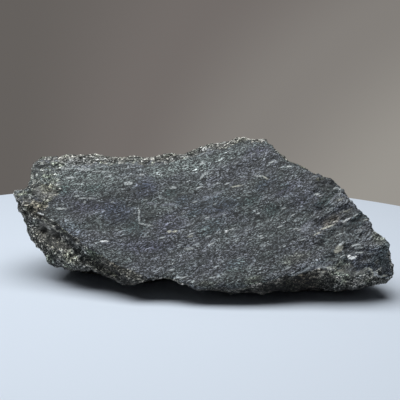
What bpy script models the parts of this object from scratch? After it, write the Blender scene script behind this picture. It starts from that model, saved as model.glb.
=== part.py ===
"""Nuummite hand specimen: one broken block of dark, streaked rock, modelled as one solid.

The stone starts as a convex block with flat fracture faces. A low peak is joined to it, chips are
struck out of its edges, and the whole is remeshed so that its surface can be worn and roughened:
long low terraces along the grain on the front face, a staircase of ledges at the right end, knobs
and broken layers on the crusted sides, and flats under it where it rests. Lengths are in
millimetres and are turned into metres at the end.
"""

import math

import bmesh
import bpy
from mathutils import Euler, Matrix, Vector, noise

COLLECTION = "nuummite"
CUTTERS = "chips_and_blocks"
NODE = "stone"
METRES_PER_MM = 0.001

# The front face is one plane that climbs towards the back and a little to the right.
FACE_HEIGHT = 36.2
FACE_CLIMB_BACK = 1.14
FACE_CLIMB_RIGHT = 0.135
FACE_NORMAL = Vector((-FACE_CLIMB_RIGHT, -FACE_CLIMB_BACK, 1.0)).normalized()

# The grain of the rock runs along the face and rises to the right.
GRAIN = Vector((0.957, 0.119, 0.265)).normalized()
ACROSS_GRAIN = FACE_NORMAL.cross(GRAIN).normalized()

# Corners of the front face, as x and y on its plane, anticlockwise from the upper left.
FACE_CORNERS = [
    (-53.5, 8.5), (-61.8, -1.2), (-48.3, -9.7), (-33.5, -17.5), (-20.6, -23.6), (-1.0, -26.5),
    (18.5, -27.0), (41.0, -25.6), (59.0, -20.2), (54.1, -17.6), (47.4, -7.9), (42.5, -3.6),
    (38.0, -2.4), (27.0, 2.0),
]
# Far edge of the narrow top strip, and the left tip.
TOP_CORNERS = [(-60.6, 18.5, 39.2), (-38.3, 23.0, 39.2), (-26.5, 20.0, 40.0), (-1.2, 18.0, 41.6),
               (11.1, 17.0, 41.5), (29.9, 4.0, 41.1), (-59.8, 13.5, 37.6), (-67.4, 6.0, 29.4)]
# Lower edges of the rough left wall, from the tip down to the front lip.
LEFT_CORNERS = [(-63.3, 5.0, 22.3), (-62.0, 2.5, 16.6), (-58.4, 0.0, 10.5), (-54.5, -2.0, 6.6),
                (-45.9, -6.5, 8.7), (-36.9, -10.5, 7.7), (-32.0, -15.0, 6.2), (-24.0, -21.0, 4.4)]
# The right end turns away from the front face and ends in a blunt nose.
RIGHT_CORNERS = [(60.9, -20.5, 17.0), (62.4, -19.0, 7.7), (61.4, -19.0, 7.4), (53.7, -24.5, 13.1),
                 (56.2, -20.5, 5.0), (40.0, -22.5, 3.8), (18.0, -25.0, 5.2), (2.0, -25.5, 5.4)]
# The back bulges at mid height.
BACK_CORNERS = [(-62.5, 17.0, 25.0), (-52.0, 29.0, 20.0), (-24.0, 34.0, 22.0), (10.0, 33.0, 24.0),
                (34.0, 22.0, 24.0), (52.0, 4.0, 18.0), (60.5, -9.0, 12.0)]
# Outline of the underside, a little below the plane on which the stone rests.
BASE_DEPTH = 0.5
BASE_CORNERS = [(-41.0, 13.0), (-29.0, 4.0), (-13.0, -3.0), (4.0, -7.5), (22.0, -10.0),
                (41.0, -10.5), (50.0, -6.0), (47.0, 5.0), (36.0, 16.0), (20.0, 25.0),
                (-8.0, 28.0), (-34.0, 25.0), (-43.0, 20.0)]

# The peak stands on the right half of the top edge.
PEAK_FACE_CORNERS = [(-15.0, 5.6), (-1.4, 6.6), (9.0, 7.7), (21.3, 7.3), (25.3, 4.2), (29.6, 0.8),
                     (5.0, -8.0)]
PEAK_TOP_CORNERS = [(-11.7, 18.0, 40.6), (2.0, 16.5, 43.5), (11.8, 14.5, 48.7), (14.5, 13.5, 48.3),
                    (20.9, 11.5, 45.9), (26.1, 8.0, 45.0), (28.2, 5.0, 42.4), (12.0, 21.0, 30.0),
                    (-4.0, 21.0, 30.0)]

# Chips struck out of the block: name, centre, radii and turn in degrees.
CHIP_ROUNDNESS = 4
CHIPS = [
    ("left_notch", (-65.3, 12.0, 33.6), (7.8, 10.0, 3.8), (0.0, 18.0, 0.0)),
    ("belly_hollow", (-39.0, -9.0, 1.5), (10.0, 14.0, 6.0), (0.0, 0.0, -25.0)),
    ("lip_scallop", (-11.5, -20.0, 0.0), (12.0, 20.0, 8.0), (0.0, 0.0, 0.0)),
    ("right_scoop", (36.0, -31.5, 2.5), (25.0, 11.5, 11.0), (0.0, 0.0, 0.0)),
    ("back_hollow", (-30.0, 46.0, 34.0), (30.0, 17.0, 20.0), (0.0, 10.0, 0.0)),
    ("back_corner", (52.0, 22.0, 34.0), (20.0, 18.0, 14.0), (0.0, -20.0, 20.0)),
    ("under_hollow", (4.0, 7.0, -14.0), (24.0, 11.0, 15.4), (0.0, 0.0, -8.0)),
]

# Dark, faintly blue-grey stone with a dull natural surface.
STONE_COLOUR = (0.100, 0.111, 0.119, 1.0)
STONE_ROUGHNESS = 0.62

# Even mesh of the broken block, and the number of triangles kept at the end.
VOXEL = 1.1
EDGE_WEAR_ROUNDS = 4
LAST_WEAR_ROUNDS = 2
WEAR_SHARE = 0.5
TRIANGLES = 9600
FLAT_WITHIN = 0.03
SHARP_FROM_DEGREES = 35.0

# Swells: broad unevenness all over.
SWELL_HEIGHT = 1.1
SWELL_LENGTH = 30.0
SWELL_SEED = Vector((6.5, 0.0, 0.0))

# Lumps and pits of the crusted sides.
LUMP_HEIGHT = 1.45
LUMP_LENGTH = 8.0
LUMP_SEED = Vector((0.0, 41.4, 0.0))
PIT_HEIGHT = 1.1
PIT_LENGTH = 5.0
PIT_MIDDLE = 0.4

# Broken layers: the crusted sides step down along the grain, clear of the resting flats.
LAYER_HEIGHT = 2.0
LAYER_LENGTH = 26.0
LAYER_WIDTH = 9.0
LAYER_STEPS = 3.0
LAYER_SEED = 59.8
LAYER_RISER = 0.12
LAYER_Z = (3.0, 9.0)

# Terraces: long low steps on the front face, which is where the surface looks nearly along its normal.
FRONT_COSINE = (0.80, 0.95)
TERRACE_HEIGHT = 0.6
TERRACE_LENGTH = 34.0
TERRACE_WIDTH = 8.0
TERRACE_STEPS = 3.0
TERRACE_SEED = 7.0
TERRACE_RISER = 0.18

# Ledges: a staircase at the right end, below the peak, whose risers bow with the grain.
LEDGE_HEIGHT = 1.1
LEDGE_WIDTH = 5.6
LEDGE_START = 0.3
LEDGE_BOW = 700.0
LEDGE_WANDER = 1.0
LEDGE_WANDER_LENGTH = 17.0
LEDGE_WANDER_WIDTH = 9.0
LEDGE_RISER = 0.12
LEDGE_SEED = 21.0
LEDGE_X = (26.0, 44.0)
LEDGE_Z = (36.0, 29.0)

# A groove runs along the rough left wall just under the edge of the front face.
GROOVE_DEPTH = 1.6
GROOVE_BELOW_FACE = 2.4
GROOVE_WIDTH = 1.8
GROOVE_X = (-14.0, -20.0)
LEFT_WALL_NORMAL_Y = (0.0, -0.4)
LEFT_WALL_NORMAL_Z = (0.3, 0.0)


def on_face(x, y):
    """Return the point of the front face's plane above x, y."""
    return Vector((x, y, FACE_HEIGHT + FACE_CLIMB_RIGHT * x + FACE_CLIMB_BACK * y))


def make_collection(name):
    collection = bpy.data.collections.new(name)
    bpy.context.scene.collection.children.link(collection)
    return collection


def link_mesh(name, bm, collection):
    """Write a bmesh to a new object, in metres, and put it in a collection."""
    mesh = bpy.data.meshes.new(name)
    bmesh.ops.recalc_face_normals(bm, faces=bm.faces)
    bm.to_mesh(mesh)
    bm.free()
    obj = bpy.data.objects.new(name, mesh)
    collection.objects.link(obj)
    return obj


def as_guide(obj):
    """Mark an object as construction only."""
    obj.hide_render = True
    obj.display_type = "WIRE"
    return obj


def hull(name, corners, collection):
    """Make the convex block that spans the given corners."""
    bm = bmesh.new()
    for corner in corners:
        bm.verts.new(Vector(corner) * METRES_PER_MM)
    result = bmesh.ops.convex_hull(bm, input=bm.verts)
    spare = [item for item in result["geom_interior"] if isinstance(item, bmesh.types.BMVert)]
    bmesh.ops.delete(bm, geom=spare, context="VERTS")
    return as_guide(link_mesh(name, bm, collection))


def chip(name, centre, radii, turn, collection):
    """Make the rounded body whose overlap with the block is broken away."""
    bm = bmesh.new()
    bmesh.ops.create_icosphere(bm, subdivisions=CHIP_ROUNDNESS, radius=1.0)
    place = Matrix.Translation(Vector(centre) * METRES_PER_MM)
    spin = Euler([math.radians(angle) for angle in turn]).to_matrix().to_4x4()
    size = Matrix.Diagonal(Vector(radii) * METRES_PER_MM).to_4x4()
    bmesh.ops.transform(bm, matrix=place @ spin @ size, verts=bm.verts)
    return as_guide(link_mesh(name, bm, collection))


def boolean(block, tool, operation):
    cut = block.modifiers.new(tool.name, "BOOLEAN")
    cut.solver = "EXACT"
    cut.operation = operation
    cut.object = tool


def evaluated_mesh(obj):
    graph = bpy.context.evaluated_depsgraph_get()
    return bpy.data.meshes.new_from_object(obj.evaluated_get(graph))


def broken_block(collection):
    """Join the block and its peak, strike the chips out and remesh the result evenly."""
    corners = [on_face(x, y) for x, y in FACE_CORNERS]
    corners += TOP_CORNERS + LEFT_CORNERS + RIGHT_CORNERS + BACK_CORNERS
    corners += [(x, y, -BASE_DEPTH) for x, y in BASE_CORNERS]
    block = hull("block", corners, collection)
    peak_corners = [on_face(x, y) for x, y in PEAK_FACE_CORNERS] + PEAK_TOP_CORNERS
    boolean(block, hull("peak", peak_corners, collection), "UNION")
    for name, centre, radii, turn in CHIPS:
        boolean(block, chip(name, centre, radii, turn, collection), "DIFFERENCE")
    even = block.modifiers.new("even", "REMESH")
    even.mode = "VOXEL"
    even.voxel_size = VOXEL * METRES_PER_MM
    return evaluated_mesh(block)


def ramp(limits, value):
    """Go smoothly from 0 at the first limit to 1 at the second."""
    start, end = limits
    part = min(max((value - start) / (end - start), 0.0), 1.0)
    return part * part * (3.0 - 2.0 * part)


def stepped(value, riser):
    """Round a value to whole treads, with a short riser half way between two of them."""
    tread = math.floor(value)
    return tread + ramp((0.5 - riser, 0.5 + riser), value - tread)


def in_rock(point):
    """Place of a point along the grain, across it and out of the face."""
    return Vector((point.dot(GRAIN), point.dot(ACROSS_GRAIN), point.dot(FACE_NORMAL)))


def drawn_out(place, length, width, seed):
    """Sample noise that is drawn out along the grain."""
    return noise.noise(Vector((place.x / length, place.y / width, place.z / width + seed)))


def terraces(place):
    """Long low steps of the front face."""
    layers = drawn_out(place, TERRACE_LENGTH, TERRACE_WIDTH, TERRACE_SEED) * TERRACE_STEPS
    return TERRACE_HEIGHT * stepped(layers, TERRACE_RISER) / TERRACE_STEPS


def ledges(place):
    """Staircase of the right end: each tread sinks up the slope and ends at the next riser."""
    wander = drawn_out(place, LEDGE_WANDER_LENGTH, LEDGE_WANDER_WIDTH, LEDGE_SEED)
    across = place.y + LEDGE_START - place.x ** 2 / LEDGE_BOW
    climb = across / LEDGE_WIDTH + LEDGE_WANDER * wander
    return LEDGE_HEIGHT * (stepped(climb, LEDGE_RISER) - climb)


def crust(point, place):
    """Lumps, pits and broken layers of the weathered sides."""
    lumps = LUMP_HEIGHT * noise.noise(point / LUMP_LENGTH + LUMP_SEED)
    pits = PIT_HEIGHT * (noise.voronoi(point / PIT_LENGTH)[0][0] - PIT_MIDDLE)
    layers = drawn_out(place, LAYER_LENGTH, LAYER_WIDTH, LAYER_SEED) * LAYER_STEPS
    broken = LAYER_HEIGHT * stepped(layers, LAYER_RISER) / LAYER_STEPS
    return lumps + pits + ramp(LAYER_Z, point.z) * broken


def groove(point, normal):
    """Depth of the groove under the left edge of the front face."""
    below_face = (on_face(point.x, point.y) - point).dot(FACE_NORMAL)
    depth = GROOVE_DEPTH * math.exp(-((below_face - GROOVE_BELOW_FACE) / GROOVE_WIDTH) ** 2)
    on_wall = ramp(LEFT_WALL_NORMAL_Y, normal.y) * ramp(LEFT_WALL_NORMAL_Z, normal.z)
    return depth * on_wall * ramp(GROOVE_X, point.x)


def relief(point, normal):
    """Height of the surface over the plain block at a point, in millimetres."""
    place = in_rock(point)
    front = ramp(FRONT_COSINE, normal.dot(FACE_NORMAL))
    right_end = ramp(LEDGE_X, point.x) * ramp(LEDGE_Z, point.z)
    height = SWELL_HEIGHT * noise.noise(point / SWELL_LENGTH + SWELL_SEED)
    height += front * (terraces(place) + right_end * ledges(place))
    return height + (1.0 - front) * (crust(point, place) - groove(point, normal))


def flatten_base(mesh):
    """Bring every point at or under the resting plane exactly onto it."""
    for vert in mesh.vertices:
        if vert.co.z < FLAT_WITHIN * METRES_PER_MM:
            vert.co.z = 0.0


def worn(bm, rounds):
    """Round the edges off a little more with each round."""
    for _ in range(rounds):
        bmesh.ops.smooth_vert(bm, verts=bm.verts, factor=WEAR_SHARE, use_axis_x=True,
                              use_axis_y=True, use_axis_z=True)


def weathered(mesh):
    """Wear the sharp edges, raise the relief and flatten the points that it rests on."""
    bm = bmesh.new()
    bm.from_mesh(mesh)
    worn(bm, EDGE_WEAR_ROUNDS)
    bm.normal_update()
    bm.verts.index_update()
    heights = [relief(vert.co / METRES_PER_MM, vert.normal) for vert in bm.verts]
    normals = [vert.normal.copy() for vert in bm.verts]
    for vert, normal, height in zip(bm.verts, normals, heights):
        vert.co += normal * height * METRES_PER_MM
    worn(bm, LAST_WEAR_ROUNDS)
    bm.to_mesh(mesh)
    bm.free()
    flatten_base(mesh)


def thinned(mesh, collection):
    """Thin the mesh to the chosen number of triangles."""
    dense = as_guide(bpy.data.objects.new("dense", mesh))
    collection.objects.link(dense)
    mesh.calc_loop_triangles()
    thin = dense.modifiers.new("thin", "DECIMATE")
    thin.ratio = TRIANGLES / len(mesh.loop_triangles)
    thin.use_collapse_triangulate = True
    kept = evaluated_mesh(dense)
    flatten_base(kept)
    return kept


def centre_of_base(mesh):
    """Middle of the mesh's box in x and y, on the resting plane."""
    xs = [vert.co.x for vert in mesh.vertices]
    ys = [vert.co.y for vert in mesh.vertices]
    return Vector(((min(xs) + max(xs)) / 2, (min(ys) + max(ys)) / 2, 0.0))


def stone_material():
    material = bpy.data.materials.new("stone")
    material.use_nodes = True
    shader = material.node_tree.nodes["Principled BSDF"]
    shader.inputs["Base Color"].default_value = STONE_COLOUR
    shader.inputs["Roughness"].default_value = STONE_ROUGHNESS
    shader.inputs["Metallic"].default_value = 0.0
    return material


def main():
    for obj in list(bpy.data.objects):
        bpy.data.objects.remove(obj, do_unlink=True)
    parts = make_collection(COLLECTION)
    cutters = make_collection(CUTTERS)
    dense = broken_block(cutters)
    weathered(dense)
    mesh = thinned(dense, cutters)
    mesh.name = NODE
    origin = centre_of_base(mesh)
    mesh.transform(Matrix.Translation(-origin))
    for guide in cutters.objects:
        guide.location = -origin
    stone = bpy.data.objects.new(NODE, mesh)
    parts.objects.link(stone)
    mesh.shade_smooth()
    mesh.set_sharp_from_angle(angle=math.radians(SHARP_FROM_DEGREES))
    mesh.materials.clear()
    mesh.materials.append(stone_material())


main()
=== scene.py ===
# %% [markdown]
# A broken piece of nuummite
#
# Nuummite is a dark rock made of two kinds of amphibole, which grow as thin blades packed side by side. A
# hammered or frost-split piece shows two very different surfaces. Where it broke along the blades the face
# is nearly flat, blue-black and lightly striped. Everywhere else it has a weathered rind, brown, beige and
# lumpy.
#
# The solid in the frame already has the stone's true size and its main forms: the tilted face, the notch
# and the lumps at the left, the ledges at the right and the hollow that makes it overhang. This script
# covers that solid with one finer skin and gives the skin its colours.

# %% Load the frame
import math

import bmesh
import bpy
import numpy as np
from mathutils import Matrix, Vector, noise


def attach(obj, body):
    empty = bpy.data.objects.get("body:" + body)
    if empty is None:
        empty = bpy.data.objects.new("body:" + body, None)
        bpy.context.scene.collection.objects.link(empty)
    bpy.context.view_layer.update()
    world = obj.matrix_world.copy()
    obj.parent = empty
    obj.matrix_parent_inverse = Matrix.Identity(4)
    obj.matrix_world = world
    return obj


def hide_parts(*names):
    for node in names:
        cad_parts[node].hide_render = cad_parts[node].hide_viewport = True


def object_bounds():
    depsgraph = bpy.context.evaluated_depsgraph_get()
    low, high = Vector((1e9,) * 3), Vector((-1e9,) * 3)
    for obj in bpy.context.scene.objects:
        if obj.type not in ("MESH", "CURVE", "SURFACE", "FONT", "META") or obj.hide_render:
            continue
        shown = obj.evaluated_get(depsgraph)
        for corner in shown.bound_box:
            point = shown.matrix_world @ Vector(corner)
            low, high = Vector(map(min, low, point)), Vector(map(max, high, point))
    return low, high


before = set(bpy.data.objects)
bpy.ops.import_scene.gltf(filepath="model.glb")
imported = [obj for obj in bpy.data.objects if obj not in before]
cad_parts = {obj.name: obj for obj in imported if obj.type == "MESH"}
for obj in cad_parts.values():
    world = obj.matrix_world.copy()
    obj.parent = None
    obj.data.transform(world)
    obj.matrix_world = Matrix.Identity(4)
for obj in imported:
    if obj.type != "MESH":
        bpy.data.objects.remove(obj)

MM = 0.001
cad_low, cad_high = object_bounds()
print("solid, mm:", [round((high - low) / MM, 1) for low, high in zip(cad_low, cad_high)])

# %% [markdown]
# The camera
#
# The stone is small, so it is looked at from close by with a long lens. A long lens keeps the proportions
# true; a wide one would swell the nearest corner. The camera is placed by what it looks at, how far away
# it stands and how high it is raised, which is easier to change than a bare location.

# %% Camera
LOOK_AT = Vector((0.47, -3.51, 28.8)) * MM
CAMERA_DISTANCE = 323 * MM
CAMERA_RAISED = math.radians(15)
LENS = 85.0
SENSOR_WIDTH = 36.0
NEAREST_SEEN = 10 * MM


def set_up_camera():
    data = bpy.data.cameras.new("camera")
    data.lens = LENS
    data.sensor_width = SENSOR_WIDTH
    data.clip_start = NEAREST_SEEN
    camera = bpy.data.objects.new("camera", data)
    away = Vector((0.0, -math.cos(CAMERA_RAISED), math.sin(CAMERA_RAISED)))
    camera.location = LOOK_AT + away * CAMERA_DISTANCE
    camera.rotation_euler = (math.pi / 2 - CAMERA_RAISED, 0.0, 0.0)
    bpy.context.collection.objects.link(camera)
    bpy.context.scene.camera = camera
    return camera


camera = set_up_camera()
print("camera, mm:", [round(value / MM, 1) for value in camera.location])

# %% [markdown]
# The table top
#
# The stone stands on a plain round table top, pale and slightly blue. It is a short cylinder with a
# bevelled rim. It only has to be quiet: a matt surface that catches the soft shadow under the overhang.

# %% Table top
TABLE_RADIUS = 170 * MM
TABLE_THICK = 3 * MM
TABLE_CENTRE = Vector((-16.3, -37.8, 0.0)) * MM
TABLE_SIDES = 256
RIM_WIDTH = 1.2 * MM
RIM_STEPS = 4
TABLE_COLOUR = (0.684, 0.727, 0.797, 1.0)
TABLE_ROUGHNESS = 0.75
TABLE_SHEEN = 0.15


def lay_table():
    bpy.ops.mesh.primitive_cylinder_add(
        vertices=TABLE_SIDES,
        radius=TABLE_RADIUS,
        depth=TABLE_THICK,
        location=TABLE_CENTRE - Vector((0.0, 0.0, TABLE_THICK / 2)),
    )
    table = bpy.context.active_object
    table.name = "table_top"
    rim = table.modifiers.new("rim", "BEVEL")
    rim.width = RIM_WIDTH
    rim.segments = RIM_STEPS
    finish = bpy.data.materials.new("pale_table")
    finish.use_nodes = True
    shader = finish.node_tree.nodes["Principled BSDF"]
    shader.inputs["Base Color"].default_value = TABLE_COLOUR
    shader.inputs["Roughness"].default_value = TABLE_ROUGHNESS
    shader.inputs["Specular IOR Level"].default_value = TABLE_SHEEN
    table.data.materials.append(finish)
    return table


table = lay_table()
print("table top, mm across:", round(table.dimensions.x / MM, 1))

# %% [markdown]
# The light
#
# One large rectangular softbox, a little cool, hangs over the stone and a little to its left. Because it
# is wide, the shadow is sharp only where the stone touches the table, and fades out within a finger's
# width. Little light comes in from the sides, so the space under the overhang stays nearly black.

# %% Softbox
SOFTBOX_WIDE = 370 * MM
SOFTBOX_LONG = 580 * MM
SOFTBOX_PLACE = Vector((-76.0, 0.0, 430.0)) * MM
SOFTBOX_AIM = Vector((0.0, -10.0, 20.0)) * MM
SOFTBOX_POWER = 2.80
SOFTBOX_COLOUR = (0.925, 0.970, 1.0)


def hang_softbox():
    data = bpy.data.lights.new("softbox", "AREA")
    data.shape = "RECTANGLE"
    data.size = SOFTBOX_WIDE
    data.size_y = SOFTBOX_LONG
    data.energy = SOFTBOX_POWER
    data.color = SOFTBOX_COLOUR
    softbox = bpy.data.objects.new("softbox", data)
    softbox.location = SOFTBOX_PLACE
    softbox.rotation_euler = (SOFTBOX_AIM - SOFTBOX_PLACE).to_track_quat("-Z", "Y").to_euler()
    bpy.context.collection.objects.link(softbox)
    return softbox


softbox = hang_softbox()
print("softbox above the table, mm:", round(softbox.location.z / MM))

# %% [markdown]
# First helpers for node trees
#
# The backdrop and the stone are both painted with node trees. Building a tree in code is mostly two things:
# add a node, and link or set its inputs. These helpers do both, so that the recipes further on read like
# sums. Helpers for colours, textures and groups follow later, where they are first needed.

# %% Node helpers: numbers and ramps
def feed(tree, socket, value):
    """Links the socket to another one, or sets it to a plain value."""
    if isinstance(value, bpy.types.NodeSocket):
        tree.links.new(value, socket)
    else:
        socket.default_value = value


def add_node(tree, kind, *values, **options):
    """A new node with its options set. The values go to its inputs, in their order."""
    node = tree.nodes.new("ShaderNode" + kind)
    for name, option in options.items():
        setattr(node, name, option)
    for socket, value in zip(node.inputs, values):
        feed(tree, socket, value)
    return node


def sums(tree, operation, *values):
    """One Math node."""
    return add_node(tree, "Math", *values, operation=operation).outputs[0]


def colour_ramp(tree, share, stops, kind="LINEAR"):
    """Each stop is a place from 0 to 1 and the colour there."""
    node = add_node(tree, "ValToRGB", share)
    elements = node.color_ramp.elements
    node.color_ramp.interpolation = kind
    while len(elements) < len(stops):
        elements.new(0.5)
    for element, (at, colour) in zip(elements, stops):
        element.position = at
        element.color = colour
    return node.outputs["Color"]


print("helpers for numbers and ramps ready")

# %% [markdown]
# The backdrop
#
# Behind the stone is a plain warm grey that grows lighter to the right. A wall far behind would do, but it
# would also throw light on the stone. Here the world is painted instead, and a Light Path node shows the
# paint to the camera alone, so that it can be this light without filling the shadows. Everything else sees
# a very dark grey. The Standard view then shows every colour as it was chosen.

# %% Backdrop
FILL_COLOUR = (0.030, 0.032, 0.036, 1.0)
BACKDROP_LEFT = -0.20
BACKDROP_TOP = -0.06
BACKDROP_LIFT = 4.5
BACKDROP_SHADES = (
    (-0.20, (0.130, 0.119, 0.111, 1.0)),
    (0.00, (0.168, 0.151, 0.142, 1.0)),
    (0.20, (0.226, 0.211, 0.196, 1.0)),
    (0.52, (0.318, 0.302, 0.276, 1.0)),
)


def paint_backdrop():
    world = bpy.data.worlds.new("studio")
    world.use_nodes = True
    bpy.context.scene.world = world
    tree = world.node_tree
    tree.nodes.clear()
    direction = add_node(tree, "TexCoord").outputs["Generated"]
    parts = add_node(tree, "SeparateXYZ", direction).outputs
    from_left = sums(tree, "SUBTRACT", parts["X"], BACKDROP_LEFT)
    from_top = sums(tree, "SUBTRACT", BACKDROP_TOP, parts["Z"])
    lift = sums(tree, "MULTIPLY", from_left, from_top)
    slope = sums(tree, "MULTIPLY_ADD", lift, BACKDROP_LIFT, parts["X"])
    first = BACKDROP_SHADES[0][0]
    last = BACKDROP_SHADES[-1][0]
    across = add_node(tree, "MapRange", slope, first, last).outputs["Result"]
    stops = [((at - first) / (last - first), colour) for at, colour in BACKDROP_SHADES]
    seen = add_node(tree, "Background", colour_ramp(tree, across, stops, "EASE"))
    fill = add_node(tree, "Background", FILL_COLOUR)
    path = add_node(tree, "LightPath")
    choice = add_node(tree, "MixShader", path.outputs["Is Camera Ray"], fill.outputs[0], seen.outputs[0])
    add_node(tree, "OutputWorld", choice.outputs[0])
    return world


world = paint_backdrop()
bpy.context.scene.view_settings.view_transform = "Standard"
print("backdrop:", len(world.node_tree.nodes), "nodes")

# %% [markdown]
# A finer skin over the solid
#
# The solid's facets are about two millimetres wide, too coarse for grains of rock. There are two common
# ways to get more points: subdivide the facets, or remesh. Subdividing keeps the uneven triangles. A voxel
# remesh lays an even grid of small squares all over, so one relief function looks the same on every side,
# and that is used here. A little smoothing then takes out what is left of the facets.

# %% Skin
WELD_WITHIN = 0.001 * MM
SKIN_VOXEL = 0.515 * MM
SMOOTH_ROUNDS = 3
SMOOTH_SHARE = 0.5


def weld(mesh, distance):
    work = bmesh.new()
    work.from_mesh(mesh)
    bmesh.ops.remove_doubles(work, verts=work.verts, dist=distance)
    work.to_mesh(mesh)
    work.free()


def remeshed(source, name):
    """The solid's surface as one even mesh of small squares."""
    rough = bpy.data.objects.new(name, source.data.copy())
    rough.matrix_world = source.matrix_world
    bpy.context.collection.objects.link(rough)
    weld(rough.data, WELD_WITHIN)
    grid = rough.modifiers.new("even grid", "REMESH")
    grid.mode = "VOXEL"
    grid.voxel_size = SKIN_VOXEL
    even = rough.modifiers.new("facets out", "SMOOTH")
    even.factor = SMOOTH_SHARE
    even.iterations = SMOOTH_ROUNDS
    evaluated = rough.evaluated_get(bpy.context.evaluated_depsgraph_get())
    fine = bpy.data.meshes.new_from_object(evaluated)
    bpy.data.objects.remove(rough)
    fine.name = name
    return fine


stone_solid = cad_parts["stone"]
skin = remeshed(stone_solid, "stone_skin")
print("skin:", len(skin.vertices), "points,", len(skin.polygons), "faces")

# %% [markdown]
# Which way the rock splits
#
# The blades lie in one direction, and the stone broke along them. So the flat face itself tells how the
# blades run: it is measured here from the solid, as the mean direction of the faces that look nearly the
# same way. From now on a point is given by three numbers: how far along the blades, how far across them up
# the face, and how far out of the face. A function or a texture that is stretched in the first of these
# looks like the rock.

# %% Directions of the rock
ROUGH_FACE_NORMAL = Vector((-0.09, -0.75, 0.66)).normalized()
ROUGH_BLADE_RUN = Vector((0.957, 0.119, 0.265))
FACE_WITHIN = 0.93


def measure_face(solid):
    """Outward direction of the flat face, and how far it lies from the origin, in millimetres."""
    direction = Vector()
    place = 0.0
    area = 0.0
    for polygon in solid.data.polygons:
        if polygon.normal.dot(ROUGH_FACE_NORMAL) > FACE_WITHIN:
            direction += polygon.normal * polygon.area
            place += polygon.center.dot(ROUGH_FACE_NORMAL) * polygon.area
            area += polygon.area
    return direction.normalized(), place / area / MM


face_out, face_place = measure_face(stone_solid)
blades_run = (ROUGH_BLADE_RUN - face_out * ROUGH_BLADE_RUN.dot(face_out)).normalized()
blades_across = face_out.cross(blades_run)
rock_axes = np.array([blades_run, blades_across, face_out])
print("face looks", [round(value, 3) for value in face_out], "at", round(face_place, 1), "mm")

# %% [markdown]
# Points, normals and smooth copies of values
#
# Numpy reads all the points of the mesh at once, which is hundreds of times faster than a Python loop over
# them. Values that are spread over neighbours are blurred along the mesh's edges. A blurred normal tells
# which broad side of the stone a point is on, and doesn't notice single lumps.

# %% Read the mesh
BROAD_ROUNDS = 12

edges = np.empty(len(skin.edges) * 2, dtype=np.int64)
skin.edges.foreach_get("vertices", edges)
edges = edges.reshape(-1, 2)
neighbours = np.bincount(edges.ravel(), minlength=len(skin.vertices)).astype(float)


def points_of(mesh):
    flat = np.empty(len(mesh.vertices) * 3)
    mesh.vertices.foreach_get("co", flat)
    return flat.reshape(-1, 3) / MM


def normals_of(mesh):
    flat = np.empty(len(mesh.vertices) * 3)
    mesh.vertex_normals.foreach_get("vector", flat)
    return flat.reshape(-1, 3)


def set_points(mesh, points):
    mesh.vertices.foreach_set("co", (points * MM).ravel())
    mesh.update()


def spread(values, rounds):
    """Each value averaged with its neighbours', several times over."""
    values = values.astype(float)
    columns = values.reshape(len(values), -1)
    for _ in range(rounds):
        total = np.zeros_like(columns)
        for column in range(columns.shape[1]):
            total[:, column] += np.bincount(edges[:, 0], columns[edges[:, 1], column], len(columns))
            total[:, column] += np.bincount(edges[:, 1], columns[edges[:, 0], column], len(columns))
        columns = (columns + total / neighbours[:, None]) / 2
    return columns.reshape(values.shape)


points = points_of(skin)
normals = normals_of(skin)
broad_normals = spread(normals, BROAD_ROUNDS)
broad_normals /= np.linalg.norm(broad_normals, axis=1)[:, None]
in_rock = points @ rock_axes.T
print("points lie", points.min(axis=0).round(1), "to", points.max(axis=0).round(1), "mm")

# %% [markdown]
# How far inside the fresh face
#
# The fresh face ends along an irregular line. It is drawn here as an outline in the rock's own directions,
# in millimetres, with no more corners than its bends need. The distance to that line says how far inside
# the face a point is. A painted texture could do the same, but a distance can be widened or narrowed later
# without painting again.

# %% Outline of the fresh face
FACE_OUTLINE = np.array(
    [
        (-43.0, 49.0), (-43.0, 42.0), (-42.0, 37.0), (-44.0, 33.5), (-46.5, 29.5), (-45.0, 26.8),
        (-43.0, 24.0), (-40.8, 21.0), (-38.4, 17.2), (-35.6, 13.4), (-33.0, 9.6), (-30.0, 6.2),
        (-26.9, 2.9), (-23.6, -0.5), (-20.2, -3.9), (-17.0, -6.8), (-10.0, -15.0), (-1.0, -19.0),
        (11.0, -23.0), (24.3, -24.0), (31.2, -22.0), (37.2, -20.4), (41.9, -22.8), (49.4, -25.6),
        (60.0, -28.5), (68.0, -29.0), (64.0, -8.0), (55.0, 8.0), (46.5, 20.0), (40.5, 29.0),
        (30.5, 35.5), (19.0, 37.5), (5.0, 38.5), (-8.5, 41.5), (-21.5, 46.0),
    ]
)


def inside_outline(at, outline):
    """Distance to the outline in millimetres, above 0 inside it and below 0 outside."""
    nearest = np.full(len(at), np.inf)
    crossings = np.zeros(len(at), dtype=bool)
    for start, end in zip(outline, np.roll(outline, -1, axis=0)):
        along = end - start
        share = np.clip((at - start) @ along / (along @ along), 0.0, 1.0)
        nearest = np.minimum(nearest, np.linalg.norm(at - start - share[:, None] * along, axis=1))
        spans = (at[:, 1] < start[1]) != (at[:, 1] < end[1])
        if along[1]:
            crossings ^= spans & (at[:, 0] < start[0] + (at[:, 1] - start[1]) * along[0] / along[1])
    return np.where(crossings, nearest, -nearest)


inside = inside_outline(in_rock[:, :2], FACE_OUTLINE)
print("deepest point inside the face outline, mm:", round(float(inside.max()), 1))

# %% [markdown]
# Ramps and noise
#
# Two small functions shape nearly everything that follows. A ramp turns a measure into a share from 0 to 1,
# and a pair of numbers says where it starts and ends. Noise gives soft random lumps. It is made of octaves,
# each half as wide as the one before, and a stretch makes the lumps longer along the blades.

# %% Ramps and noise
OCTAVE_FALL = 1.0
OCTAVE_SHRINK = 2.0
SEED_STRIDE = np.array((1.7, 2.9, 4.1))


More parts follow.
